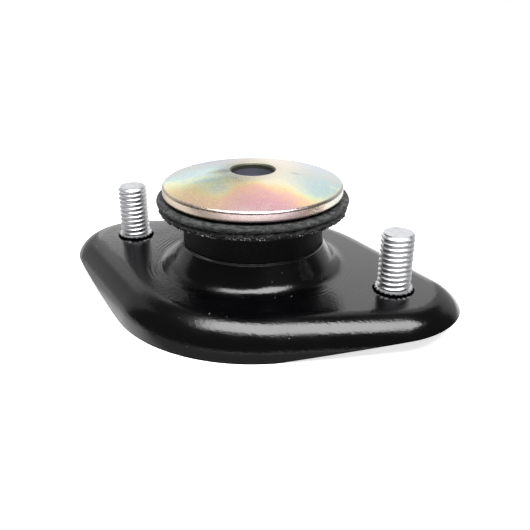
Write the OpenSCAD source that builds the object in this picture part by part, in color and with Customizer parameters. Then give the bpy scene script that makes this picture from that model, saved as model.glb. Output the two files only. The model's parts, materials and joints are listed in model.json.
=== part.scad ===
// Strut mount: a pressed steel plate with two studs, a drawn collar and a rubber bush round a sleeve.
// The origin is on the sleeve's axis, level with the lowest edge of the plate's skirt.
// +X goes to the right stud.

/* [Plate] */
// Distance between the two studs
stud_spacing = 76.2; // [68:0.2:90]
// Radius of the plate's round middle, seen from above
middle_r = 37.5; // [34:0.5:42]
// Radius of the ear round each stud
ear_r = 16.5; // [15.5:0.5:19]
// How far a flank between middle and ear bows outwards halfway along
flank_crown = 0.1; // [0.05:0.05:0.6]
// Thickness of the steel sheet
sheet_t = 2.5; // [2:0.1:3]
// Outer radius of the rolled edge between the top and the skirt
edge_r = 8; // [6:0.25:8.5]
// Height of the plate's top above the skirt's lowest edge
plate_h = 8.5; // [8:0.25:12]
// Half of the length over which the skirt's lower edge is level
level_half = 21.6; // [16:0.2:26]
// How far the skirt still reaches below the sheet at the tip of an ear
tip_drop = 0.3; // [0.2:0.1:1.5]

/* [Collar] */
// Outer radius of the drawn collar at its rim
collar_r = 18.2; // [16:0.2:20]
// Height of the collar's rim above the plate's top
collar_h = 6.7; // [6:0.1:9]
// Height of the upright lip at the rim
lip_h = 0.7; // [0.6:0.1:1.5]
// Lean of the wall below the lip, in degrees from upright
taper = 32; // [20:1:40]
// Radius of the fillet at the collar's foot
foot_r = 4.75; // [3:0.25:6.5]
// Rounding of the collar's rim
rim_round = 0.3; // [0.2:0.05:0.5]

/* [Rubber bush] */
// Height of the neck between the collar's rim and the flange
neck_h = 8.3; // [6:0.1:12]
// Height of the flange between the neck and the washer
flange_h = 3.55; // [3:0.05:6]
// How far the flange's upper bead stands out past the washer
flange_lip = 1.6; // [0.8:0.1:2.5]
// Rounding of the lower bead
lower_bead_r = 0.5; // [0.4:0.05:0.7]
// Width of the groove's floor between the two beads
groove_w = 0.05; // [0.05:0.05:0.5]
// How far the lower bead stays inside the upper one
bead_step = 0.45; // [0.2:0.05:1]
// Radius of the pad under the plate
pad_r = 20; // [18:0.25:21]
// Height of the pad's lower face above the skirt's lowest edge
pad_z = 1.5; // [1:0.1:2.5]
// Rounding of the pad's lower edge
pad_round = 2; // [1:0.25:2.5]

/* [Sleeve] */
// Diameter of the bore for the strut's rod
bore_d = 10.8; // [8:0.1:12]
// Wall of the sleeve
sleeve_wall = 2.6; // [2:0.1:3]
// Height of the sleeve's lower end above the skirt's lowest edge
sleeve_z = 0.5; // [0.3:0.1:0.9]
// Chamfer at the lower end of the bore
bore_chamfer = 0.5; // [0.2:0.1:0.8]

/* [Washer] */
// Outer diameter of the dished washer
washer_d = 45.4; // [43:0.2:52]
// Thickness of the washer
washer_t = 2.8; // [2:0.1:3.5]
// Rounding of the two corners of its edge
washer_corner = 0.8; // [0.4:0.1:0.9]
// How far the washer's middle rises above its rim
washer_rise = 3.1; // [1:0.1:5]
// Width of the flat land round the hole, where the rod's nut seats
land_w = 3.2; // [2.8:0.1:5]
// Chamfer at the top of the hole
hole_chamfer = 0.4; // [0.2:0.05:0.6]

/* [Studs] */
// Thread diameter of a stud
stud_d = 8; // [6:0.5:10]
// Height of a stud above the plate's top
stud_h = 14.6; // [10:0.1:30]
// Chamfer at a stud's tip
stud_chamfer = 0.6; // [0.4:0.1:1.2]
// Depth of the splines on the shoulder that is pressed into the plate
spline_depth = 0.45; // [0.2:0.05:0.6]
// How far the spline's root stands out past the thread
shoulder_step = 0.3; // [0.2:0.05:0.8]
// Number of splines round the shoulder
spline_count = 22; // [16:1:30]
// How far the shoulder stands above the plate's top
shoulder_proud = 0.9; // [0.4:0.1:1.5]
// Diameter of the head under the plate
head_d = 13; // [12:0.5:16]
// Thickness of the head
head_h = 2.2; // [1.5:0.1:3]
// Chamfer round the head
head_chamfer = 0.4; // [0.2:0.1:0.6]

/* [Hidden] */
$fn = 96;
// How far cutting tools reach past what they cut
over = 1;
// How far two stretches of the same sheet lap where they join
lap = 0.01;
// Straight steps of the plate's surface: across the rolled edge, round an ear, round the middle
// and along a flank
roll_steps = 8;
ear_steps = 16;
middle_steps = 10;
flank_steps = 6;

stud_x = stud_spacing / 2;
stud_r = stud_d / 2;
shoulder_r = stud_r + shoulder_step + spline_depth;
// Direction of a flank's outward normal, as its angle from +X
flank_angle = acos((middle_r - ear_r) / stud_x);
under_z = plate_h - sheet_t;
tip_x = stud_x + ear_r;
tip_z = under_z - tip_drop;

collar_in_r = collar_r - sheet_t;
collar_z = plate_h + collar_h;
rim_z = collar_z - rim_round;
lip_z = collar_z - lip_h;
lip_in_z = lip_z - sheet_t * tan(taper / 2);
foot_z = plate_h + foot_r;
throat_r = foot_r + sheet_t;
// Where the leaning wall runs into the fillet, on its outer and on its inner side
wall_z = foot_z - foot_r * sin(taper);
wall_r = collar_r + (lip_z - wall_z) * tan(taper);
foot_edge_r = wall_r + foot_r * cos(taper);
wall_in_z = foot_z - throat_r * sin(taper);
wall_in_r = foot_edge_r - throat_r * cos(taper);
// A point inside the fillet's sheet, up to which the wall reaches to join it
join_r = foot_r + sheet_t / 2;
join_angle = taper + (90 - taper) / 4;

bore_r = bore_d / 2;
sleeve_r = bore_r + sleeve_wall;
washer_r = washer_d / 2;
washer_rim_r = washer_r - washer_corner;
flange_z = collar_z + neck_h;
washer_z = flange_z + flange_h;
land_r = bore_r + land_w;
land_z = washer_z + washer_rise;

neck_r = collar_r - rim_round;
flange_r = washer_r + flange_lip;
upper_bead_r = flange_h / 2 - lower_bead_r - groove_w / 2;
upper_bead_x = flange_r - upper_bead_r;
lower_bead_x = flange_r - bead_step - lower_bead_r;
groove_low_z = flange_z + 2 * lower_bead_r;

// Shapes that the profiles share

// A quarter of a ring or disc about the origin, in quadrant 0 to 3 counted from the first
module quarter(quadrant, outer, inner = 0) {
    intersection() {
        difference() {
            circle(outer);
            if (inner > 0)
                circle(inner);
        }
        rotate(90 * quadrant)
            square(outer + over);
    }
}

// The outer half of a disc about [x, z]
module half_disc(x, z, r) {
    translate([x, z])
        intersection() {
            circle(r);
            translate([0, -r - over])
                square([r + over, 2 * (r + over)]);
        }
}

// Plate

// Stations go anticlockwise round the plate's outline. Each is [centre of its arc, radius, direction of its
// outward normal]. A flank's centre and radius slide from one arc's to the other's, so it runs between the
// points where both are tangent.
function ear_station(i) = [[stud_x, 0], ear_r, flank_angle * (2 * i / ear_steps - 1)];
function middle_station(i) = [[0, 0], middle_r, flank_angle + (180 - 2 * flank_angle) * i / middle_steps];
function flank_station(share, side) =
    [[side * stud_x * (1 - share), 0],
        ear_r + (middle_r - ear_r) * share + 4 * flank_crown * share * (1 - share),
        side > 0 ? flank_angle : 180 - flank_angle];
half_outline = concat(
    [for (i = [0 : ear_steps]) ear_station(i)],
    [for (i = [1 : flank_steps - 1]) flank_station(i / flank_steps, 1)],
    [for (i = [0 : middle_steps]) middle_station(i)],
    [for (i = [1 : flank_steps - 1]) flank_station(1 - i / flank_steps, -1)]);
outline = concat(half_outline, [for (s = half_outline) [-s[0], s[1], s[2] + 180]]);

// Height of the skirt's lower edge: level in the middle, then a straight rise to the tip of the ear
function skirt_z(x) = x < level_half ? 0 : tip_z * (x - level_half) / (tip_x - level_half);

// A point of the rolled edge: share runs from the flat top (0) to the cut edge (1), and inset goes
// into the sheet
function edge_point(station, share, inset) =
    let (normal = [cos(station[2]), sin(station[2])],
        rim = station[0] + station[1] * normal,
        drop = plate_h - skirt_z(abs(rim.x)),
        full_turn = drop < edge_r ? acos(1 - drop / edge_r) : 90,
        run = share * (edge_r * full_turn * PI / 180 + max(0, drop - edge_r)),
        turn = min(90, run / edge_r * 180 / PI),
        straight = max(0, run - edge_r * PI / 2),
        r = edge_r - inset,
        at = rim - edge_r * normal + r * sin(turn) * normal)
    [at.x, at.y, plate_h - edge_r + r * cos(turn) - straight];

// The pressed sheet without its collar: a flat top whose edge rolls over into the skirt
module pressed_shell() {
    last = 2 * roll_steps + 1;
    count = len(outline);
    points = [for (s = outline, k = [0 : last])
        k <= roll_steps
            ? edge_point(s, k / roll_steps, 0)
            : edge_point(s, (last - k) / roll_steps, sheet_t)];
    strips = [for (j = [0 : count - 1], k = [0 : last - 1])
        let (a = j * (last + 1) + k, b = (j + 1) % count * (last + 1) + k)
        [a, b, b + 1, a + 1]];
    top = [for (j = [count - 1 : -1 : 0]) j * (last + 1)];
    underside = [for (j = [0 : count - 1]) j * (last + 1) + last];
    polyhedron(points, concat(strips, [top, underside]));
}

// The collar, turned: the sheet bends up out of the plate, leans inwards and ends in an upright lip
module drawn_collar() {
    rotate_extrude() {
        translate([foot_edge_r, foot_z])
            intersection() {
                quarter(2, throat_r, foot_r);
                rotate(taper)
                    quarter(2, throat_r + over);
            }
        polygon([[wall_r, wall_z], [collar_r, lip_z], [collar_r, rim_z], [neck_r, collar_z],
            [collar_in_r, collar_z], [collar_in_r, lip_in_z], [wall_in_r, wall_in_z],
            [foot_edge_r - join_r * cos(join_angle), foot_z - join_r * sin(join_angle)]]);
        translate([neck_r, rim_z])
            circle(rim_round);
    }
}

module support_plate() {
    color([0.06, 0.06, 0.065])
        difference() {
            union() {
                difference() {
                    pressed_shell();
                    translate([0, 0, -over])
                        cylinder(r = foot_edge_r - lap, h = plate_h + 2 * over);
                }
                drawn_collar();
            }
            for (side = [-1, 1])
                translate([side * stud_x, 0, -over])
                    cylinder(r = shoulder_r, h = plate_h + 2 * over);
        }
}

// Studs

// Outline of the serrated shoulder: sharp splines whose tips just reach the wall of the plate's hole
module spline_outline() {
    polygon([for (i = [0 : 2 * spline_count - 1])
        let (r = i % 2 == 0 ? shoulder_r : shoulder_r - spline_depth, t = 180 * i / spline_count)
        [r * cos(t), r * sin(t)]]);
}

module stud() {
    shoulder_top = plate_h + shoulder_proud;
    tip_top = plate_h + stud_h;
    head_r = head_d / 2;
    color([0.82, 0.83, 0.84]) {
        rotate_extrude()
            polygon([[0, under_z - head_h], [head_r - head_chamfer, under_z - head_h],
                [head_r, under_z - head_h + head_chamfer], [head_r, under_z], [0, under_z]]);
        translate([0, 0, under_z])
            linear_extrude(sheet_t + shoulder_proud)
                spline_outline();
        rotate_extrude()
            polygon([[0, shoulder_top], [stud_r, shoulder_top], [stud_r, tip_top - stud_chamfer],
                [stud_r - stud_chamfer, tip_top], [0, tip_top]]);
    }
}

module left_stud() {
    translate([-stud_x, 0, 0])
        stud();
}

module right_stud() {
    translate([stud_x, 0, 0])
        stud();
}

// Bush, sleeve and washer

// One moulding: pad under the plate, body inside the collar, neck on the collar's rim, beaded flange
module rubber_bush() {
    pad_core_r = pad_r - pad_round;
    color([0.1, 0.1, 0.1])
        rotate_extrude() {
            translate([sleeve_r, pad_z])
                square([pad_core_r - sleeve_r, pad_round]);
            translate([pad_core_r, pad_z + pad_round])
                quarter(3, pad_round);
            difference() {
                translate([sleeve_r, pad_z + pad_round])
                    square([pad_r - sleeve_r, collar_z - pad_z - pad_round]);
                translate([foot_edge_r, foot_z])
                    circle(throat_r);
                polygon([[wall_in_r, wall_in_z], [collar_in_r, lip_in_z], [collar_in_r, collar_z + over],
                    [foot_edge_r, collar_z + over], [foot_edge_r, wall_in_z]]);
            }
            polygon([[sleeve_r, collar_z], [neck_r, collar_z], [neck_r, flange_z], [lower_bead_x, flange_z],
                [lower_bead_x, groove_low_z], [upper_bead_x, groove_low_z + groove_w],
                [upper_bead_x, washer_z], [washer_rim_r, washer_z], [land_r, land_z],
                [sleeve_r, land_z]]);
            half_disc(lower_bead_x, flange_z + lower_bead_r, lower_bead_r);
            half_disc(upper_bead_x, washer_z - upper_bead_r, upper_bead_r);
        }
}

module inner_sleeve() {
    color([0.55, 0.57, 0.6])
        rotate_extrude()
            polygon([[bore_r + bore_chamfer, sleeve_z], [sleeve_r, sleeve_z], [sleeve_r, land_z],
                [bore_r, land_z], [bore_r, sleeve_z + bore_chamfer]]);
}

// Dished sheet with a flat land round the hole and rounded corners at the rim
module upper_washer() {
    top_z = land_z + washer_t;
    color([0.86, 0.8, 0.62])
        rotate_extrude() {
            polygon([[bore_r, land_z], [land_r, land_z], [washer_rim_r, washer_z],
                [washer_rim_r, washer_z + washer_t], [land_r, top_z], [bore_r + hole_chamfer, top_z],
                [bore_r, top_z - hole_chamfer]]);
            translate([washer_rim_r, washer_z + washer_corner]) {
                quarter(3, washer_corner);
                square([washer_corner, washer_t - 2 * washer_corner]);
            }
            translate([washer_rim_r, washer_z + washer_t - washer_corner])
                quarter(0, washer_corner);
        }
}

support_plate();
left_stud();
right_stud();
rubber_bush();
inner_sleeve();
upper_washer();
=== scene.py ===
# %% [markdown]
# # A strut mount, from plain solids to a finished part
#
# A strut mount holds the top of a suspension strut in a vehicle's body. This one is a pressed steel plate
# in gloss black paint, with two zinc-plated studs, a rubber bush in a drawn collar and a dished washer with
# a rainbow tint. The measured solids are loaded as a frame that stays where it is. Each step below models
# one real piece in that frame, at the same place, and then gives it the finish that the real piece has.

# %% Load the frame
import json
import math
import random

import bmesh
import bpy
from mathutils import Matrix, Vector


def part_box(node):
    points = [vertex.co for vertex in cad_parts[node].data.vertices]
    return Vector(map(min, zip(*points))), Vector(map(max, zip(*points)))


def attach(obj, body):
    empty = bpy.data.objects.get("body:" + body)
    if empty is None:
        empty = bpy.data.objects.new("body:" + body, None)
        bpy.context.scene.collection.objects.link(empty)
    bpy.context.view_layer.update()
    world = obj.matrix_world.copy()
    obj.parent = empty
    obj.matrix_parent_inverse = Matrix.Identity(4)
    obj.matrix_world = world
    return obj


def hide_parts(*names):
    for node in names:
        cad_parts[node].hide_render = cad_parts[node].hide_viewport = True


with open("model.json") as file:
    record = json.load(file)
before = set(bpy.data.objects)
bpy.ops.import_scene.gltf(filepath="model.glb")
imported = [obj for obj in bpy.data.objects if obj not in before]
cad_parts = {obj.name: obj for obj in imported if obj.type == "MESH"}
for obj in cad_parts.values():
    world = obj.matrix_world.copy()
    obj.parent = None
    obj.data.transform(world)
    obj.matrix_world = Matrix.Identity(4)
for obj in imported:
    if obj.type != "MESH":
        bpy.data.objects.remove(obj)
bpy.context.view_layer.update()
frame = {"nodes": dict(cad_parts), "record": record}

mm = 0.001
print("nodes:", sorted(frame["nodes"]))

# %% [markdown]
# ## Sizes
#
# The frame already knows most sizes: a node's box gives its reach, and the record gives the studs' spacing,
# the bore and the top face. They could be typed in again, but reading them keeps every new piece on its
# solid. What a box can't tell, such as the radius of a rolled edge, is named where it is first needed:
# lengths in metres, angles in degrees.

# %% Read the sizes
mounts = {mount["name"]: mount for mount in frame["record"]["mounts"]}
plate_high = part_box("support_plate")[1]
bush_low, bush_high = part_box("rubber_bush")
washer_low, washer_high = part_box("upper_washer")
stud_low, stud_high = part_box("right_stud")

stud_x = mounts["body_studs"]["dims"]["pcd_mm"] * mm / 2
stud_r = mounts["body_studs"]["dims"]["stud_r_mm"] * mm
shoulder_z = mounts["body_studs"]["pos_m"][2]
bore_r = mounts["rod_bore"]["dims"]["r_mm"] * mm
plate_z = mounts["body_face"]["pos_m"][2]
collar_z = plate_high.z
middle_r = plate_high.y
flange_r = bush_high.x
washer_r = washer_high.x
print(f"plate {2 * middle_r / mm:.1f} mm wide, studs {2 * stud_x / mm:.1f} mm apart")

# %% [markdown]
# ## Camera
#
# The picture is taken from the front right, a little above the washer, from close by, so the near stud is
# clearly larger than the far one. A camera could be turned by hand until the view is right, but it is easier
# to name the point that it looks at and let Blender work out the turn: `to_track_quat` points the camera's
# -Z axis at the target and keeps its Y axis up. A small roll then levels the picture.

# %% Place the camera
camera_place = Vector((73.44, -138.98, 78.85)) * mm
camera_target = Vector((4.56, -2.07, 8.5)) * mm
camera_roll = math.radians(0.24)
camera_lens = 44.19
camera_near = 5 * mm

sight = camera_target - camera_place
roll = Matrix.Rotation(camera_roll, 3, "Z").to_quaternion()
turn = sight.to_track_quat("-Z", "Y") @ roll
bpy.ops.object.camera_add(location=camera_place, rotation=turn.to_euler())
camera = bpy.context.object
camera.data.lens = camera_lens
camera.data.clip_start = camera_near
bpy.context.scene.camera = camera
bpy.context.scene.view_settings.view_transform = "Standard"
print(f"camera {sight.length / mm:.0f} mm from its target, lens {camera_lens} mm")

# %% [markdown]
# ## Writing shaders as formulas
#
# A material is a web of nodes, and building one node at a time hides what it means. Two small classes make
# it readable. `Wire` wraps a node's output, so `1 - mask * 0.5` adds the Math nodes that it needs. `Shader`
# holds one node tree, and its `node` method adds any other node: settings first, then a value or a wire for
# each socket.

# %% Shader helpers
class Wire:
    """One output of a node. Arithmetic with it adds Math nodes to the same tree."""

    def __init__(self, shader, socket):
        self.shader = shader
        self.socket = socket

    def math(self, operation, first, second):
        return self.shader.node("Math", {"operation": operation}, {0: first, 1: second})

    def __add__(self, other):
        return self.math("ADD", self, other)

    def __radd__(self, other):
        return self.math("ADD", other, self)

    def __sub__(self, other):
        return self.math("SUBTRACT", self, other)

    def __rsub__(self, other):
        return self.math("SUBTRACT", other, self)

    def __mul__(self, other):
        return self.math("MULTIPLY", self, other)

    def __rmul__(self, other):
        return self.math("MULTIPLY", other, self)


class Shader:
    """The node tree of one material, or of the world."""

    def __init__(self, owner):
        owner.use_nodes = True
        self.owner = owner
        self.tree = owner.node_tree
        self.tree.nodes.clear()

    def node(self, kind, settings=None, sockets=None, output=0):
        made = self.tree.nodes.new("ShaderNode" + kind)
        for name, setting in (settings or {}).items():
            if name == "stops":
                self.set_stops(made.color_ramp.elements, setting)
            else:
                setattr(made, name, setting)
        for name, value in (sockets or {}).items():
            if isinstance(value, Wire):
                self.tree.links.new(value.socket, made.inputs[name])
            else:
                made.inputs[name].default_value = value
        return Wire(self, made.outputs[output]) if made.outputs else None

    @staticmethod
    def set_stops(elements, stops):
        while len(elements) < len(stops):
            elements.new(1)
        for element, (position, colour) in zip(elements, stops):
            element.position = position
            element.color = colour


def tint(red, green, blue):
    """A colour in the 0 to 255 steps of a screen, as the linear values that shaders use.

    The numbers are those of the usual screen curve: straight near black, a power above it.
    """
    steps = (red, green, blue)
    linear = [((v / 255 + 0.055) / 1.055) ** 2.4 if v > 10 else v / 255 / 12.92 for v in steps]
    return (*linear, 1)


print("shader helpers ready")

# %% [markdown]
# ## Shader words
#
# A few combinations come back in every finish: the place on the object, a noise of a known grain, a soft
# step from one value to another, and a mix of two colours. They could be wired up anew each time, but as
# words they make a finish read like a recipe. Noise scales are written as the size of one grain, which is
# what can be measured on the real surface.

# %% Words for places
def object_place(shader):
    return shader.node("TexCoord", output="Object")


def coordinate(shader, place, axis):
    return shader.node("SeparateXYZ", sockets={"Vector": place}, output=axis)


def along(shader, place, axis):
    """How far a place lies in the direction of an axis."""
    return shader.node("VectorMath", {"operation": "DOT_PRODUCT"}, {0: place, 1: axis}, output="Value")


def level(shader, place):
    """A place or a direction without its height."""
    return shader.node("VectorMath", {"operation": "MULTIPLY"}, {0: place, 1: (1, 1, 0)})


def length(shader, place):
    return shader.node("VectorMath", {"operation": "LENGTH"}, {0: place}, output="Value")


def from_axis(shader, place):
    """Distance from the part's upright axis."""
    return length(shader, level(shader, place))


print("words for places ready")

# %% Words for patterns and colours
grain_middle = 0.5


def grain(shader, place, size, detail=2, distortion=0):
    scale = {"Vector": place, "Scale": 1 / size, "Detail": detail, "Distortion": distortion}
    return shader.node("TexNoise", sockets=scale)


def soft_step(shader, value, low, high, start=0, end=1):
    sockets = {"Value": value, "From Min": low, "From Max": high, "To Min": start, "To Max": end}
    return shader.node("MapRange", {"interpolation_type": "SMOOTHSTEP"}, sockets)


def band(shader, value, rise, fall):
    """One between two soft edges, nothing outside them."""
    return soft_step(shader, value, *rise) * soft_step(shader, value, *fall)


def larger(first, second):
    return first.math("MAXIMUM", first, second)


def blend(shader, share, first, second):
    """A mix of two colours. The Mix node's colours are its inputs 6 and 7 and its output 2."""
    return shader.node("Mix", {"data_type": "RGBA"}, {0: share, 6: first, 7: second}, output=2)


def relief(shader, height, depth, below=None):
    sockets = {"Height": height, "Distance": depth}
    if below:
        sockets["Normal"] = below
    return shader.node("Bump", sockets=sockets)


def new_shader(name):
    return Shader(bpy.data.materials.new(name))


def finish_material(shader, principled):
    surface = shader.node("BsdfPrincipled", sockets=principled)
    shader.node("OutputMaterial", sockets={"Surface": surface})
    return shader.owner


print("words for patterns and colours ready")

# %% [markdown]
# ## Soft box
#
# Black gloss paint has almost no colour of its own: what makes its shape readable is what it mirrors. So the
# light is planned from its reflections, and not from where it would brighten the part. A soft box overhead,
# along the part's length, draws the bright line on the front shoulder. An area lamp is used, because a point
# lamp would draw only a dot.

# %% Soft box
box_place = Vector((115, -125, 500)) * mm
box_length = 0.59
box_width = 0.3
box_power = 6

bpy.ops.object.light_add(type="AREA", location=box_place)
soft_box = bpy.context.object
soft_box.data.shape = "RECTANGLE"
soft_box.data.size = box_length
soft_box.data.size_y = box_width
soft_box.data.energy = box_power
print(f"soft box {box_length} x {box_width} m, {box_place.z:.1f} m up")

# %% [markdown]
# ## Room
#
# The rest of the light comes from the world: a dim room with lit cards round the back and the sides, which
# grey the flat top, the left edge and the rolled shoulders. Cards could be planes in the scene, but the part
# also has to be seen from behind, and there they would stand in the way. As fields of the world they have
# only a direction. To the camera the world is plain white. To a mirror it is also white where a backdrop
# would stand, low behind the part. The rest stays dim, which keeps the front of the paint dark.

# %% Directions of the room
def heading(degrees):
    """The level direction at so many degrees from +X, towards +Y."""
    return Vector((math.cos(math.radians(degrees)), math.sin(math.radians(degrees)), 0))


world = bpy.data.worlds.new("studio")
bpy.context.scene.world = world
studio = Shader(world)
way = studio.node("TexCoord", output="Generated")
up = along(studio, way, (0, 0, 1))
compass = studio.node("VectorMath", {"operation": "NORMALIZE"}, {0: level(studio, way)})


def sector(first, last, blur):
    """One between two headings, nothing outside them."""
    half = (last - first) / 2
    toward = along(studio, compass, heading((first + last) / 2))
    outer = math.cos(math.radians(half + blur))
    inner = math.cos(math.radians(half - blur))
    return soft_step(studio, toward, outer, inner)


def card(headings, top, light, foot=None, blur=2):
    """A lit field between two headings. Its top and its foot fade between two heights, as sines."""
    field = sector(*headings, blur) * soft_step(studio, up, *top)
    if foot:
        field = field * soft_step(studio, up, *foot)
    return field * light


def mirrored_ray(shader):
    """One for a ray that comes off a shiny surface or out of glass."""
    glossy = shader.node("LightPath", output="Is Glossy Ray")
    through = shader.node("LightPath", output="Is Transmission Ray")
    return larger(glossy, through)


print("directions of the room ready")

# %% Cards of the room
white = (1, 1, 1, 1)
white_light = 1
room_light = 0.1

backdrop = card((94, 140), top=(0.33, 0.27), light=white_light)
cards = {
    "back": card((94, 118), top=(0.72, 0.6), light=1.3),
    "left": card((129, 189), top=(0.7, 0.6), light=0.42),
    "low": card((138, 189), top=(0.4, 0.34), light=0.5),
    "ear": card((124, 140), top=(0.42, 0.37), foot=(0.14, 0.24), light=2),
    "roll": card((138, 160), top=(0.62, 0.52), foot=(0.3, 0.4), light=0.95, blur=4),
    "right": card((56, 94), top=(0.62, 0.5), light=0.6, blur=12),
}
glow = card((80, 136), top=(0.9, 0.82), foot=(0.5, 0.62), light=0.85, blur=8)

lit = mirrored_ray(studio) * backdrop
for field in cards.values():
    lit = larger(lit, field)
room = room_light + lit + glow
light = studio.node("MixShader", sockets={
    0: studio.node("LightPath", output="Is Camera Ray"),
    1: studio.node("Background", sockets={"Color": white, "Strength": room}),
    2: studio.node("Background", sockets={"Color": white, "Strength": white_light}),
})
studio.node("OutputWorld", sockets={"Surface": light})
print("cards:", ", ".join(cards))

# %% [markdown]
# ## Floor
#
# The part stands on white paper. A plain white plane would do for the camera, but the gloss paint would
# mirror it and turn grey along the front. So the floor tells rays apart: the camera sees white paper with
# the part's own shadow, mirrors see a share of that white, and the strips in front and at the left, which
# the skirt mirrors, are dark to all but the camera. Far out the paper fades away, so that its edge never
# shows.

# %% Floor
floor_size = 2
paper_grey = 0.86
strip_dark = 0.62
left_share = 0.6
picture_glow = 0.75
mirror_share = 0.3
left_heading = 190
fade_from = 0.15
fade_to = 0.4

bpy.ops.object.select_all(action="DESELECT")
bpy.ops.mesh.primitive_plane_add(size=floor_size)
floor = bpy.context.object
floor.name = "floor"
floor_shader = new_shader("pale_floor")
spot = object_place(floor_shader)
ahead = along(floor_shader, spot, camera_place.xy.normalized().to_3d())
aside = along(floor_shader, spot, heading(left_heading))
# Both strips are painted shade on the paper, for all rays but the camera's.
front_strip = band(floor_shader, ahead, rise=(24 * mm, 34 * mm), fall=(95 * mm, 75 * mm))
left_strip = band(floor_shader, aside, rise=(35 * mm, 50 * mm), fall=(140 * mm, 110 * mm))
strips = larger(front_strip, left_strip * left_share)
print("floor strips placed")

# %% Floor finish
shaded = floor_shader.node("BsdfDiffuse", sockets={"Color": paper_grey - strips * strip_dark})
paper = floor_shader.node("BsdfDiffuse", sockets={"Color": (paper_grey, paper_grey, paper_grey, 1)})
shining = floor_shader.node("Emission", sockets={"Color": white, "Strength": picture_glow})
pictured = floor_shader.node("AddShader", sockets={0: paper, 1: shining})
to_camera = floor_shader.node("LightPath", output="Is Camera Ray")
seen = to_camera + mirrored_ray(floor_shader) * (1 - strips) * mirror_share
sheet = floor_shader.node("MixShader", sockets={0: seen, 1: shaded, 2: pictured})
fade = soft_step(floor_shader, length(floor_shader, spot), fade_from, fade_to)
clear = floor_shader.node("BsdfTransparent")
floor_look = floor_shader.node("MixShader", sockets={0: fade, 1: sheet, 2: clear})
floor_shader.node("OutputMaterial", sockets={"Surface": floor_look})
floor.data.materials.append(floor_shader.owner)
print("floor ready")

# %% [markdown]
# ## Drawing by extrusion
#
# A piece could be pushed into shape from a cube, but these are sheets and turned bodies, so each starts as
# a line, as on a drawing board: one vertex is put down and extruded from point to point. A plane merged to
# its middle gives that first vertex. Round stretches are worked out as arcs, so an outline keeps only the
# sizes that a drawing would carry. A chain that is spun about the Z axis becomes a turned piece.

# %% Drawing helpers
merge_reach = 0.002 * mm


def begin(name):
    """A new, empty mesh object at the origin, in edit mode."""
    bpy.ops.object.select_all(action="DESELECT")
    bpy.ops.mesh.primitive_plane_add(enter_editmode=True)
    bpy.ops.mesh.delete(type="VERT")
    made = bpy.context.object
    made.name = name
    made.data.name = name
    return made


def arc(centre, radius, start, end, steps):
    """Points of a round stretch, from one angle to another in degrees."""
    turns = [math.radians(start + (end - start) * i / steps) for i in range(steps + 1)]
    return [(centre[0] + radius * math.cos(t), centre[1] + radius * math.sin(t)) for t in turns]


def upright(points):
    return [Vector((x, 0, z)) for x, z in points]


def draw(points):
    """Puts down a vertex and extrudes it along the points, as a chain of edges."""
    bpy.ops.mesh.select_mode(type="VERT")
    bpy.ops.mesh.select_all(action="DESELECT")
    bpy.ops.mesh.primitive_plane_add(size=mm, location=points[0])
    bpy.ops.mesh.merge(type="CENTER")
    for here, there in zip(points, points[1:]):
        bpy.ops.mesh.extrude_vertices_move(TRANSFORM_OT_translate={"value": there - here})


def tidy_mesh():
    """Merges doubles and turns all faces outwards."""
    bpy.ops.mesh.select_all(action="SELECT")
    bpy.ops.mesh.remove_doubles(threshold=merge_reach)
    bpy.ops.mesh.normals_make_consistent(inside=False)


def lathe(steps):
    """Spins everything in the mesh once round the Z axis."""
    bpy.ops.mesh.select_all(action="SELECT")
    bpy.ops.mesh.spin(steps=steps, angle=2 * math.pi, center=(0, 0, 0), axis=(0, 0, 1))
    tidy_mesh()


print("drawing helpers ready")

# %% [markdown]
# ## Selecting and finishing
#
# By hand, an edge is picked with the mouse. In code it is picked by what is known of it: its height, its
# radius or the way it faces. `select` takes such a test. A modifier is added, set and applied at once, so
# that each piece ends as a plain mesh.

# %% Selecting and finishing helpers
near_enough = 0.01 * mm


def near(value, target):
    return abs(value - target) < near_enough


def select(kind, test):
    """Selects the vertices, edges or faces that pass a test."""
    bpy.ops.mesh.select_mode(type=kind)
    bpy.ops.mesh.select_all(action="DESELECT")
    mesh = bmesh.from_edit_mesh(bpy.context.object.data)
    for part in {"VERT": mesh.verts, "EDGE": mesh.edges, "FACE": mesh.faces}[kind]:
        part.select_set(test(part))
    mesh.select_flush_mode()
    bmesh.update_edit_mesh(bpy.context.object.data)


def finish_modifier(made, kind, **settings):
    """Adds a modifier, sets it and applies it."""
    bpy.context.view_layer.objects.active = made
    modifier = made.modifiers.new(kind.lower(), kind)
    for name, setting in settings.items():
        setattr(modifier, name, setting)
    bpy.ops.object.modifier_apply(modifier=modifier.name)


def smooth(made, degrees):
    """Shades smooth, apart from edges sharper than so many degrees."""
    bpy.ops.object.select_all(action="DESELECT")
    made.select_set(True)
    bpy.context.view_layer.objects.active = made
    bpy.ops.object.shade_smooth_by_angle(angle=math.radians(degrees))


def count(made):
    made.data.calc_loop_triangles()
    return f"{made.name}: {len(made.data.loop_triangles)} triangles"


print("selecting and finishing helpers ready")

# %% [markdown]
# ## Support plate: the pressed skin
#
# On the real part one sheet of steel is blanked, its edge is rolled over a die, and the skirt is cut shorter
# towards the ears. The finished wall could be modelled at once, but it would be hard to keep even. So only
# the outer skin is made first: the outline is drawn and raised, its top edge gets a bevel with the radius of
# the die, and two slanting cuts trim the ears. A cut counts points nearer than its threshold as lying on it,
# and the usual tenth of a millimetre is coarse here, so a finer one is given.

# %% Outline, rolled edge and trimmed ears
ear_r = 17.2 * mm
level_half = 21.6 * mm
tip_z = 4.8 * mm
edge_r = 8 * mm
ear_steps = 44
middle_steps = 36
edge_steps = 14
many_corners = 100
cut_slack = 0.0005 * mm
flank = math.degrees(math.acos((middle_r - ear_r) / stud_x))

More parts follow.
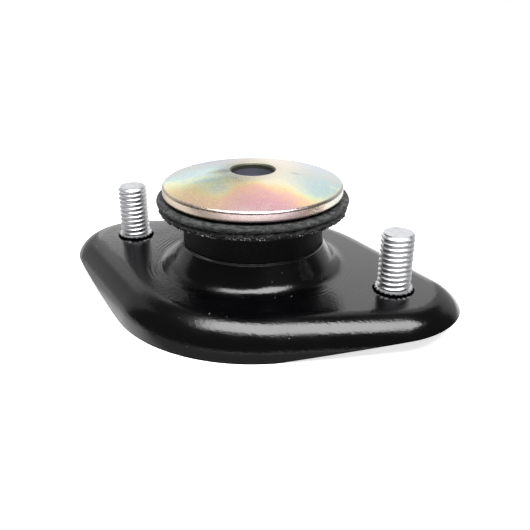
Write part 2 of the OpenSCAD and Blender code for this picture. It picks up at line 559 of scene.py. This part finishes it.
plate = begin("support_plate_pressing")
half = arc((stud_x, 0), ear_r, -flank, flank, ear_steps)
half += arc((0, 0), middle_r, flank, 180 - flank, middle_steps)
around = half + [(-x, -y) for x, y in half]
draw([Vector((x, y, 0)) for x, y in around + around[:1]])
bpy.ops.mesh.select_all(action="SELECT")
bpy.ops.mesh.remove_doubles(threshold=merge_reach)
bpy.ops.mesh.edge_face_add()
bpy.ops.mesh.extrude_region_move(TRANSFORM_OT_translate={"value": (0, 0, plate_z)})
bpy.ops.mesh.bevel(offset=edge_r, segments=edge_steps, profile=0.5, affect="EDGES", clamp_overlap=False)
# Only the flat top and the flat bottom have so many corners, and both are left open
select("FACE", lambda face: len(face.verts) > many_corners)
bpy.ops.mesh.delete(type="ONLY_FACE")

slope = tip_z / (stud_x + ear_r - level_half)
for side in (1, -1):
    bpy.ops.mesh.select_all(action="SELECT")
    bpy.ops.mesh.bisect(plane_co=(side * level_half, 0, 0), plane_no=(-side * slope, 0, 1),
                        clear_inner=True, threshold=cut_slack)
bpy.ops.object.mode_set(mode="OBJECT")
print(count(plate))

# %% [markdown]
# ## Support plate: the collar
#
# The collar is drawn up out of the same sheet: a wide fillet at its foot, a short tapered wall, a small bend
# and an upright lip. It could be a solid cone with a hole, but then the wall would not be one sheet with the
# top. All of it is round, so its outer skin is one line, drawn and spun.

# %% Collar
sheet_t = 2.5 * mm
foot_r = 4.75 * mm
collar_r = 18.2 * mm
collar_taper = 32
lip_h = 0.7 * mm
bend_r = 0.8 * mm
foot_steps = 12
bend_steps = 4
collar_steps = 128

lean = math.radians(collar_taper)
lip_z = collar_z - lip_h
wall_z = plate_z + foot_r * (1 - math.sin(lean))
foot_edge_r = collar_r + (lip_z - wall_z) * math.tan(lean) + foot_r * math.cos(lean)
foot = (foot_edge_r, plate_z + foot_r)
bend = (collar_r + bend_r, lip_z + bend_r * math.tan(lean / 2))
profile = arc(foot, foot_r, 270, 180 + collar_taper, foot_steps)
profile += arc(bend, bend_r, 180 + collar_taper, 180, bend_steps) + [(collar_r, collar_z)]

collar = begin("collar_skin")
draw(upright(profile))
lathe(collar_steps)
bpy.ops.object.mode_set(mode="OBJECT")
print(count(collar))

# %% [markdown]
# ## Support plate: one sheet
#
# Both skins become one. The flat top is filled between the rolled edge, the collar's foot and the two stud
# holes. Solidify then gives the skin its thickness, square to the surface everywhere, as a sheet is, which
# moving a copy downwards would not. A small bevel breaks the cut edges, and weighted normals keep the flat
# top flat in its reflections.

# %% Flat top and sheet thickness
hole_r = 5.05 * mm
hole_steps = 64
rim_round = 0.3 * mm
rim_steps = 4
rim_angle = math.radians(50)
plate_crease = 40

plate.select_set(True)
bpy.context.view_layer.objects.active = plate
bpy.ops.object.join()
bpy.ops.object.mode_set(mode="EDIT")
for side in (1, -1):
    centre = (side * stud_x, 0, plate_z)
    bpy.ops.mesh.primitive_circle_add(vertices=hole_steps, radius=hole_r, location=centre)
select("EDGE", lambda edge: len(edge.link_faces) < 2 and all(near(v.co.z, plate_z) for v in edge.verts))
bpy.ops.mesh.fill(use_beauty=True)
tidy_mesh()
bpy.ops.object.mode_set(mode="OBJECT")
finish_modifier(plate, "SOLIDIFY", thickness=sheet_t, offset=-1, use_even_offset=True)
finish_modifier(plate, "BEVEL", width=rim_round, segments=rim_steps, angle_limit=rim_angle)
smooth(plate, plate_crease)
finish_modifier(plate, "WEIGHTED_NORMAL", keep_sharp=True)
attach(plate, "root")
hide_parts("support_plate")
print(count(plate))

# %% [markdown]
# ## Studs: the thread
#
# A rolled M8 thread is a profile carried up a helix. A stack of rings would look much the same from afar,
# but its lines would not climb. The Screw modifier makes a true helix: one pitch of the profile is drawn,
# turned and raised. Two level cuts then close the ends. They need the fine threshold, too: with the
# usual one the ends stay open.

# %% Thread
pitch = 1.25 * mm
root_r = 3.33 * mm
crest = 0.2 * mm
crest_round = 0.05 * mm
flank_angle = math.radians(30)
thread_low = shoulder_z - pitch
thread_steps = 56
flank_rise = (stud_r - root_r) * math.tan(flank_angle)
root = pitch - crest - 2 * flank_rise
spare_turns = 2
turns = math.ceil((stud_high.z - thread_low) / pitch) + spare_turns


def cut_level(z, **side):
    """Cuts the mesh at height z, clears one side and closes the cut."""
    bpy.ops.mesh.select_all(action="SELECT")
    bpy.ops.mesh.bisect(plane_co=(0, 0, z), plane_no=(0, 0, 1), use_fill=True, threshold=cut_slack, **side)


tooth = [
    (root_r, 0),
    (root_r, root),
    (stud_r - crest_round, root + flank_rise),
    (stud_r, root + flank_rise + crest / 3),
    (stud_r, pitch - flank_rise - crest / 3),
    (stud_r - crest_round, pitch - flank_rise),
    (root_r, pitch),
]
thread = begin("thread")
draw(upright([(x, z + thread_low - pitch) for x, z in tooth]))
bpy.ops.object.mode_set(mode="OBJECT")
finish_modifier(thread, "SCREW", screw_offset=pitch, iterations=turns, steps=thread_steps,
                render_steps=thread_steps)
bpy.ops.object.mode_set(mode="EDIT")
tidy_mesh()
cut_level(thread_low, clear_inner=True)
cut_level(stud_high.z, clear_outer=True)
tidy_mesh()
bpy.ops.object.mode_set(mode="OBJECT")
print(count(thread))

# %% [markdown]
# ## Studs: tip, shoulder and head
#
# A press-in stud is held by a serrated shoulder, which bites into its hole, and by a head under the plate.
# A blank with a chamfered tip, kept where it overlaps the thread, lets the last turn run out at the tip. The
# shoulder is a cylinder with two points for each tooth, and every second point is pushed in. These forms
# could be left standing in each other, but the real stud is one piece, so booleans join them into one closed
# mesh with no faces inside.

# %% Helpers for round bodies
end_facing = 0.9


def cylinder(name, radius, low, high, vertices):
    """A cylinder between two heights, left in edit mode."""
    bpy.ops.object.select_all(action="DESELECT")
    bpy.ops.mesh.primitive_cylinder_add(vertices=vertices, radius=radius, depth=high - low)
    made = bpy.context.object
    made.name = name
    bpy.ops.object.mode_set(mode="EDIT")
    bpy.ops.mesh.select_all(action="SELECT")
    bpy.ops.transform.translate(value=(0, 0, (low + high) / 2))
    return made


def bevel_end(z, offset, segments):
    """Bevels the edge round the flat end of a cylinder at height z."""
    select("FACE", lambda face: abs(face.normal.z) > end_facing and near(face.calc_center_median().z, z))
    bpy.ops.mesh.bevel(offset=offset, segments=segments, affect="EDGES")


def combine(made, tool, operation):
    """Leaves edit mode, joins or cuts one body with the other and removes the other."""
    bpy.ops.object.mode_set(mode="OBJECT")
    finish_modifier(made, "BOOLEAN", object=tool, operation=operation, solver="EXACT")
    bpy.data.objects.remove(tool)


print("helpers for round bodies ready")

# %% Chamfered tip, shoulder and head
tip_chamfer = 0.6 * mm
blank_slack = 0.1 * mm
body_steps = 64
spline_count = 22
spline_depth = 0.45 * mm
spline_proud = 0.3 * mm
shoulder_r = stud_r + spline_proud + spline_depth
shoulder_round = 0.22 * mm
head_r = stud_high.x - stud_x
head_round = 0.4 * mm
under_z = plate_z - sheet_t
stud_crease = 35

blank = cylinder("blank", stud_r + blank_slack, thread_low - pitch, stud_high.z, body_steps)
bevel_end(stud_high.z, tip_chamfer + blank_slack, segments=1)
combine(thread, blank, "INTERSECT")

shoulder = cylinder("shoulder", shoulder_r, under_z, shoulder_z, 2 * spline_count)
half_tooth = math.pi / spline_count
select("VERT", lambda vert: round(math.atan2(vert.co.y, vert.co.x) / half_tooth) % 2 == 1)
inward = 1 - spline_depth / shoulder_r
bpy.ops.transform.resize(value=(inward, inward, 1), center_override=(0, 0, 0))
bevel_end(shoulder_z, shoulder_round, segments=2)
combine(thread, shoulder, "UNION")

head = cylinder("head", head_r, stud_low.z, under_z, body_steps)
bevel_end(stud_low.z, head_round, segments=3)
combine(thread, head, "UNION")
smooth(thread, stud_crease)
print(count(thread))

# %% [markdown]
# ## Two studs from one
#
# Both studs are the same part, so the stud is modelled once and copied. The objects could be moved to
# their holes. Here each copy gets a mesh of its own, and the mesh is moved while the object stays at the
# origin. The finish reads places from the object, so its grain differs from stud to stud, as on two real
# ones.

# %% Two studs from one
studs = []
for name, side in (("left_stud", -1), ("right_stud", 1)):
    stud = thread.copy()
    stud.data = thread.data.copy()
    stud.name = name + "_threaded"
    stud.data.name = stud.name
    stud.data.transform(Matrix.Translation((side * stud_x, 0, 0)))
    bpy.context.collection.objects.link(stud)
    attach(stud, "root")
    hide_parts(name)
    studs.append(stud)
bpy.data.objects.remove(thread)
print([stud.name for stud in studs])

# %% [markdown]
# ## Rubber bush
#
# The bush is moulded in one piece round the sleeve: a pad under the plate, a body inside the collar, a neck
# that stands on the collar's rim and a flange with two beads under the washer. It could be put together from
# rings, but all of it is round, so one section is drawn and spun. Under the washer's rim the section steps
# back, which leaves the dark line between the rubber and the metal.

# %% Sizes where the bush meets its neighbours
washer_t = 2.8 * mm
washer_corner = 0.8 * mm
washer_z = washer_low.z
washer_rim_r = washer_r - washer_corner
land_w = 3.2 * mm
land_r = bore_r + land_w
land_z = washer_high.z - washer_t
sleeve_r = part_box("inner_sleeve")[1].x
neck_r = collar_r - rim_round
collar_in_r = collar_r - sheet_t
lip_in_z = lip_z - sheet_t * math.tan(lean / 2)
throat_r = foot_r + sheet_t
print(f"neck {neck_r / mm:.1f} mm, sleeve {sleeve_r / mm:.1f} mm in radius")

# %% Turned bush
pad_r = 20 * mm
pad_z = bush_low.z
pad_round = 2 * mm
flange_t = 3.55 * mm
flange_z = washer_z - flange_t
rim_gap = 0.55 * mm
gap_depth = 2 * mm
gap_r = washer_rim_r - gap_depth
gap_z = land_z + (washer_z - land_z) * (gap_r - land_r) / (washer_rim_r - land_r)
bead_top = washer_z - rim_gap
bead_step = 0.45 * mm
lower_bead_r = 0.8 * mm
upper_bead_r = (bead_top - flange_z) / 2 - lower_bead_r
lower_bead = (flange_r - bead_step - lower_bead_r, flange_z + lower_bead_r)
upper_bead = (flange_r - upper_bead_r, bead_top - upper_bead_r)
throat_start = math.degrees(math.acos((pad_r - foot[0]) / throat_r))
bush_steps = 320

section = [(sleeve_r, pad_z)]
section += arc((pad_r - pad_round, pad_z + pad_round), pad_round, -90, 0, steps=8)
section += arc(foot, throat_r, -throat_start, collar_taper - 180, steps=8)
section += [(collar_in_r, lip_in_z), (collar_in_r, collar_z), (neck_r, collar_z), (neck_r, flange_z)]
section += arc(lower_bead, lower_bead_r, -90, 90, steps=12)
section += arc(upper_bead, upper_bead_r, -90, 90, steps=14)
section += [(gap_r, bead_top), (gap_r, gap_z), (land_r, land_z), (sleeve_r, land_z), (sleeve_r, pad_z)]

bush = begin("rubber_bush_moulding")
draw(upright(section))
lathe(bush_steps)
print(count(bush))

# %% [markdown]
# ## Torn flash
#
# Where the two halves of the mould met, a thin fin of rubber was squeezed out and torn off. Relief in the
# finish would leave the outline smooth, so the ring of faces at the seam is extruded, and each point is
# pulled out by a different length. The random numbers have a fixed seed, so the edge is torn the same way
# on each run.

# %% Torn flash
flash_inner_r = 23 * mm
flash_lift = 0.06 * mm
flash_rise = 0.22 * mm
flash_low = flange_z + flash_lift
flash_high = flash_low + flash_rise
flash_reach = 0.28 * mm
torn_out_mm = (-0.22, 0.3)
torn_drop_mm = (-0.12, 0.12)
stations_per_degree = 2
bush_crease = 40
torn_seed = 7
torn = random.Random(torn_seed)


def in_flash_ring(face):
    middle = face.calc_center_median()
    return middle.xy.length > flash_inner_r and flash_low < middle.z < flash_high


select("FACE", in_flash_ring)
bpy.ops.mesh.extrude_region_shrink_fatten(TRANSFORM_OT_shrink_fatten={"value": flash_reach})
mesh = bmesh.from_edit_mesh(bush.data)
pulled = [vert for vert in mesh.verts if vert.select]
lengths = {}
for vert in pulled:
    station = round(math.degrees(math.atan2(vert.co.y, vert.co.x)) * stations_per_degree)
    if station not in lengths:
        lengths[station] = torn.uniform(*torn_out_mm) * mm, torn.uniform(*torn_drop_mm) * mm
    out, drop = lengths[station]
    vert.co += vert.co.xy.normalized().to_3d() * out
    vert.co.z += drop
bmesh.update_edit_mesh(bush.data)
bpy.ops.object.mode_set(mode="OBJECT")
smooth(bush, bush_crease)
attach(bush, "root")
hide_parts("rubber_bush")
print(count(bush))

# %% [markdown]
# ## Dished washer
#
# The washer is stamped from thick sheet and dished, and its edge has rounded corners. A flat disc could be
# bent by moving its points, but its edge would lean with it. So the section is drawn with the flat land, the
# slope of the dish and both corners, and is spun. A stamped dish has no sharp bends, so the two edge loops
# where land and slope meet are bevelled wide.

# %% Stamped washer
top_z = washer_high.z
hole_chamfer = 0.4 * mm
dish_bend = 2.6 * mm
dish_steps = 6
corner_steps = 8
washer_steps = 192
washer_crease = 40
lower_corner = (washer_rim_r, washer_z + washer_corner)
upper_corner = (washer_rim_r, washer_z + washer_t - washer_corner)
dish = math.degrees(math.atan2(land_z - washer_z, washer_rim_r - land_r))

section = [(bore_r, land_z), (land_r, land_z)]
section += arc(lower_corner, washer_corner, -90, 0, corner_steps)
section += arc(upper_corner, washer_corner, 0, 90 - dish, corner_steps)
section += [(land_r, top_z), (bore_r + hole_chamfer, top_z)]
section += [(bore_r, top_z - hole_chamfer), (bore_r, land_z)]

washer = begin("upper_washer_stamped")
draw(upright(section))
lathe(washer_steps)
select("EDGE", lambda edge: all(near(v.co.xy.length, land_r) for v in edge.verts))
bpy.ops.mesh.bevel(offset=dish_bend, segments=dish_steps, affect="EDGES")
bpy.ops.object.mode_set(mode="OBJECT")
smooth(washer, washer_crease)
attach(washer, "root")
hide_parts("upper_washer")
print(count(washer))

# %% [markdown]
# ## Gloss black paint
#
# Dip paint is almost black and mirrors its surroundings at a low angle, which the shader's own Fresnel
# gives. One even black would look like plastic. What makes it look like paint on steel is what disturbs that
# mirror: a slow waviness of the pressed sheet, rings that the drawing tool left round the collar's foot, the
# fine skin of orange peel, and light ticks of dust and scratches.

# %% Paint relief and ticks
ring_pitch = 1.1 * mm
tick_cell = 1.1 * mm
tick_stretch = (1, 0.3, 1)
tick_edge = (0.12, 0.04)
pick_blur = 0.02


def paint_relief(shader, place):
    """Waves of the pressed sheet, draw rings round the collar's foot and orange peel."""
    reach = from_axis(shader, place)
    rings = shader.node("Math", {"operation": "SINE"}, {0: reach * (2 * math.pi / ring_pitch)})
    at_foot = band(shader, reach, rise=(22 * mm, 24 * mm), fall=(29 * mm, 26 * mm))
    patchy = soft_step(shader, grain(shader, place, 12 * mm), 0.4, 0.6)
    wave = relief(shader, grain(shader, place, 14 * mm), depth=0.05 * mm)
    drawn = relief(shader, rings * at_foot * patchy, depth=0.01 * mm, below=wave)
    return relief(shader, grain(shader, place, 0.6 * mm), depth=0.04 * mm, below=drawn)


def dust_ticks(shader, place, turn, spare):
    """Short light scratches in one direction; spare is the share of cells without one."""
    turned = shader.node("Mapping", sockets={"Vector": place, "Rotation": turn, "Scale": tick_stretch})
    cells = {"Vector": turned, "Scale": 1 / tick_cell}
    distance = shader.node("TexVoronoi", sockets=cells, output="Distance")
    colour = shader.node("TexVoronoi", sockets=cells, output="Color")
    pick = shader.node("SeparateColor", sockets={"Color": colour}, output="Red")
    return soft_step(shader, distance, *tick_edge) * soft_step(shader, pick, spare, spare + pick_blur)


print("paint relief and ticks ready")

# %% Paint
paint_black = tint(4, 4, 5)
tick_grey = tint(170, 170, 168)
tick_share = 0.5
tick_rough = 0.5


def black_paint():
    shader = new_shader("black_paint")
    place = object_place(shader)
    ticks = dust_ticks(shader, place, turn=(0.4, 0.5, 0.9), spare=0.92)
    ticks = ticks + dust_ticks(shader, place, turn=(0.9, 0.2, -0.5), spare=0.93)
    ticks = ticks * soft_step(shader, grain(shader, place, 11 * mm), 0.45, 0.62) * tick_share
    patches = grain(shader, place, 9 * mm, detail=3)
    return finish_material(shader, {
        "Base Color": blend(shader, ticks, paint_black, tick_grey),
        "Roughness": soft_step(shader, patches, 0.35, 0.7, start=0.13, end=0.2) + ticks * tick_rough,
        "Normal": paint_relief(shader, place),
    })


plate.data.materials.append(black_paint())
print("painted", plate.name)

# %% [markdown]
# ## Bright zinc
#
# The studs are plated after the thread is rolled. Zinc is a light grey metal, so it is a metallic surface of
# medium gloss. A perfect metal would mirror the room too clearly, so a small grain in colour, roughness and
# relief breaks up the mirror, as plating does. The end of each stud is worn a little darker, and the
# shoulder is coloured black below a ragged line. Both are placed by height, the black with a ragged edge.

# %% Zinc
zinc_dark = tint(204, 205, 208)
zinc_light = tint(226, 226, 228)
worn_dark = tint(168, 169, 172)
worn_light = tint(206, 207, 209)
shoulder_black = tint(8, 8, 8)
black_drop = 0.3 * mm
black_edge = 0.15 * mm
black_ragged = 0.5 * mm
black_z = shoulder_z - black_drop
head_edge = 0.2 * mm
end_edge = (stud_high.z - 0.12 * mm, stud_high.z - 0.04 * mm)


def bright_zinc():
    shader = new_shader("bright_zinc")
    place = object_place(shader)
    height = coordinate(shader, place, "Z")
    ragged = height + (grain(shader, place, 0.7 * mm) - grain_middle) * black_ragged
    # Below a ragged line round the shoulder the zinc is coloured black.
    blackened = soft_step(shader, ragged, black_z, black_z - black_edge)
    blackened = blackened * soft_step(shader, height, under_z, under_z + head_edge)
    cloud = grain(shader, place, 1.2 * mm, detail=3)
    bright = blend(shader, cloud, zinc_dark, zinc_light)
    worn = blend(shader, grain(shader, place, 1.6 * mm, detail=3), worn_dark, worn_light)
    on_end = soft_step(shader, height, *end_edge)
    plated = blend(shader, on_end, bright, worn)
    return finish_material(shader, {
        "Base Color": blend(shader, blackened, plated, shoulder_black),
        "Metallic": 0.92,
        "Roughness": soft_step(shader, cloud, 0.3, 0.7, start=0.3, end=0.42),
        "Normal": relief(shader, grain(shader, place, 0.25 * mm), depth=0.004 * mm),
    })


plating = bright_zinc()
for stud in studs:
    stud.data.materials.append(plating)
print("plated", len(studs), "studs")

# %% [markdown]
# ## Moulded rubber
#
# Moulded rubber is dull and very dark grey, as the beads show, with streaks along the ring and a little
# dust. The neck lies in the flange's shade, and that shade is painted into its colour, which is almost
# black.
# The torn flash is pale where it whitened as it tore. Each zone could have a material of its own, but then
# their borders would be hard. One material with soft steps in height lets them run into each other, and
# light flecks fill the ring at the height of the flash.

# %% Rubber
# The neck's almost black is painted shade under the flange; the rubber's own colour is the grey of the
# beads.
shaded_neck_black = tint(3, 3, 3)
streak_dark = tint(32, 33, 33)
streak_light = tint(72, 73, 73)
dust_grey = tint(160, 160, 158)
fleck_pale = tint(225, 225, 222)
dust_share = 0.5
ring_stretch = (0.35, 0.35, 1.3)
bead_edge = (flange_z, flange_z + 1 * mm)
torn_rise = (flange_z - 0.6 * mm, flange_z - 0.3 * mm)
torn_fall = (flange_z + 0.8 * mm, flange_z + 0.5 * mm)


def bush_rubber():
    shader = new_shader("bush_rubber")
    place = object_place(shader)
    height = coordinate(shader, place, "Z")
    fine = grain(shader, place, 0.35 * mm, detail=3)
    on_bead = soft_step(shader, height, *bead_edge)
    patchy = soft_step(shader, grain(shader, place, 3 * mm), 0.38, 0.55)
    flecks = soft_step(shader, fine, 0.55, 0.66) * band(shader, height, torn_rise, torn_fall) * patchy
    dust = soft_step(shader, grain(shader, place, 0.5 * mm), 0.62, 0.74) * on_bead
    along_ring = shader.node("Mapping", sockets={"Vector": place, "Scale": ring_stretch})
    streaks = soft_step(shader, grain(shader, along_ring, 0.5 * mm, detail=3), 0.35, 0.65)
    bead = blend(shader, streaks, streak_dark, streak_light)
    # Below the beads the rubber takes the painted shade of the neck in place of its own grey.
    bare = blend(shader, on_bead, shaded_neck_black, bead)
    dusty = blend(shader, dust * dust_share, bare, dust_grey)
    return finish_material(shader, {
        "Base Color": blend(shader, flecks, dusty, fleck_pale),
        "Roughness": soft_step(shader, fine, 0.3, 0.7, start=0.62, end=0.8),
        "Specular IOR Level": 0.25,
        "Normal": relief(shader, fine, depth=0.03 * mm),
    })


bush.data.materials.append(bush_rubber())
print("rubber on", bush.name)

# %% [markdown]
# ## Drawn steel of the sleeve
#
# Only the sleeve's bore shows, deep in the washer's hole. It could be modelled again, but the solid is right
# as it is, so it keeps its shape and gets a darker bare steel with fine rings from drawing.

# %% Sleeve steel
steel_dark = tint(112, 115, 130)
steel_light = tint(150, 154, 172)
draw_stretch = (0.1, 0.1, 1)


def sleeve_steel():
    shader = new_shader("sleeve_steel")
    place = object_place(shader)
    rings = shader.node("Mapping", sockets={"Vector": place, "Scale": draw_stretch})
    drawn = grain(shader, rings, 0.2 * mm, detail=3)
    return finish_material(shader, {
        "Base Color": blend(shader, drawn, steel_dark, steel_light),
        "Metallic": 0.4,
        "Roughness": soft_step(shader, drawn, 0.3, 0.7, start=0.25, end=0.42),
        "Normal": relief(shader, drawn, depth=0.008 * mm),
    })


sleeve = frame["nodes"]["inner_sleeve"]
sleeve.data.materials.clear()
sleeve.data.materials.append(sleeve_steel())
print("steel on", sleeve.name)

# %% [markdown]
# ## Yellow passivated zinc: the film
#
# Passivation leaves a clear film whose thickness changes slowly over the washer, and each thickness has its
# own colour, as in a soap film. The colours could be painted as patches, but then they would meet in any
# order. So one number stands for the thickness: it grows from the back of the washer to the front, most in
# the middle, noise bends its bands, and a few thin spots pull it back. A colour ramp turns that number into
# the film's colours, one after the other.

# %% Film thickness
film_at_axis = 0.46
film_growth = 0.3
film_lean = 0.05
bulge_gain = 0.22
cloud_gain = 0.36
mottle_gain = 0.16
thin_film = 0.49
thin_share = 0.9
oval_core = 0.2


def soft_oval(shader, place, centre, reach, share=1):
    """A soft oval round a point of the turned washer."""
    moved = shader.node("VectorMath", {"operation": "SUBTRACT"}, {0: place, 1: (*centre, 0)})
    scale = (1 / reach[0], 1 / reach[1], 0)
    oval = shader.node("VectorMath", {"operation": "MULTIPLY"}, {0: moved, 1: scale})
    return soft_step(shader, length(shader, oval), 1, oval_core, end=share)


def thin_spots(shader, turned):
    spots = soft_oval(shader, turned, centre=(-15 * mm, 0), reach=(8 * mm, 7 * mm))
    spots = spots + soft_oval(shader, turned, centre=(15 * mm, -9 * mm), reach=(8 * mm, 9 * mm))
    return spots + soft_oval(shader, turned, centre=(-7.5 * mm, -12 * mm), reach=(4 * mm, 5 * mm), share=0.8)


def film_thickness(shader, place, turned, bulge):
    side = coordinate(shader, turned, "X")
    depth = coordinate(shader, turned, "Y")
    cloud = grain(shader, place, 8 * mm, detail=3, distortion=0.4)
    mottle = grain(shader, place, 1.1 * mm, detail=3)
    film = film_at_axis - depth * (film_growth / washer_r) - side * (film_lean / washer_r)
    film = film + bulge * bulge_gain + (cloud - grain_middle) * cloud_gain
    film = film + (thin_film - film) * thin_spots(shader, turned) * thin_share
    return film + (mottle - grain_middle) * mottle_gain


def film_colour(shader, film):
    """The film's colours in the order of its thickness."""
    return shader.node("ValToRGB", {"stops": [
        (0.0, tint(172, 175, 178)),
        (0.26, tint(168, 173, 186)),
        (0.4, tint(178, 182, 176)),
        (0.5, tint(166, 188, 190)),
        (0.58, tint(200, 208, 168)),
        (0.66, tint(218, 198, 147)),
        (0.76, tint(224, 180, 156)),
        (0.88, tint(216, 166, 171)),
        (1.0, tint(222, 192, 194)),
    ]}, {"Fac": film})


print("film ready")

# %% [markdown]
# ## Yellow passivated zinc: the finish
#
# Over the film's colours lie a cream bloom in the middle, two grey patches, a paler front left, a paler rim
# and fine light speckle. The larger grey patch, left of the hole, is painted shade. Each is a mask that says
# where and a colour that says what, so they can be laid on one after the other, like thin coats. The wall of
# the hole shows none of the film's colours: it is made dull, and painted shade makes it dark near the edge.

# %% Washer finish
front_turn = (0, 0, math.radians(-26.7))
middle_x = 3 * mm
# Inside the hole the zinc is painted dark olive: painted shade within the bore.
hole_shade_dark = tint(72, 73, 60)
hole_deep = (top_z - 1.2 * mm, top_z - 1.5 * mm)
hole_edge = (bore_r + 0.45 * mm, bore_r + 0.3 * mm)
hole_dull = 0.8
hole_rough = 0.25
rim_edge = (washer_rim_r, washer_rim_r + 0.3 * mm)


# Two grey patches; the larger one, left of the hole, is painted shade.
def grey_patches(shader, turned):
    left = soft_oval(shader, turned, centre=(-8 * mm, -1.5 * mm), reach=(5 * mm, 2.6 * mm))
    right = soft_oval(shader, turned, centre=(10.5 * mm, -2 * mm), reach=(2 * mm, 1 * mm), share=0.7)
    return left + right


def hole_wall(shader, place):
    """The colour of the hole's wall: painted shade, dark near the edge, bluish further down."""
    deep = soft_step(shader, coordinate(shader, place, "Z"), *hole_deep)
    return blend(shader, deep, hole_shade_dark, steel_dark)


def yellow_zinc():
    shader = new_shader("yellow_zinc")
    place = object_place(shader)
    reach = from_axis(shader, place)
    turned = shader.node("Mapping", sockets={"Vector": place, "Rotation": front_turn})
    side = coordinate(shader, turned, "X")
    off_middle = shader.node("Math", {"operation": "ABSOLUTE"}, {0: side - middle_x})
    middle = soft_step(shader, off_middle, 13 * mm, 3 * mm)
    front = soft_step(shader, coordinate(shader, turned, "Y"), -7 * mm, -16 * mm)
    film = film_thickness(shader, place, turned, middle * front)
    bloom = middle * soft_step(shader, film, 0.72, 0.56)
    front_left = soft_step(shader, side, 2 * mm, -12 * mm) * front
    on_rim = soft_step(shader, reach, *rim_edge)
    in_hole = soft_step(shader, reach, *hole_edge)
    speckle = grain(shader, place, 0.4 * mm, detail=3)
    colour = film_colour(shader, film)
    for coat, share, over in (
        (bloom, 0.75, tint(214, 201, 178)),
        # The grey patches, the larger of them painted shade.
        (grey_patches(shader, turned), 0.6, tint(118, 118, 108)),
        (front_left, 0.4, tint(255, 236, 192)),
        (on_rim, 0.6, tint(206, 194, 191)),
        (soft_step(shader, speckle, 0.55, 0.8), 0.3, tint(245, 243, 238)),
    ):
        colour = blend(shader, coat * share, colour, over)
    return finish_material(shader, {
        "Base Color": blend(shader, in_hole, colour, hole_wall(shader, place)),
        "Metallic": 1 - in_hole * hole_dull,
        "Roughness": soft_step(shader, speckle, 0.3, 0.7, start=0.26, end=0.36) + in_hole * hole_rough,
        "Normal": relief(shader, grain(shader, place, 0.6 * mm), depth=0.005 * mm),
    })


washer.data.materials.append(yellow_zinc())
print("passivated", washer.name)
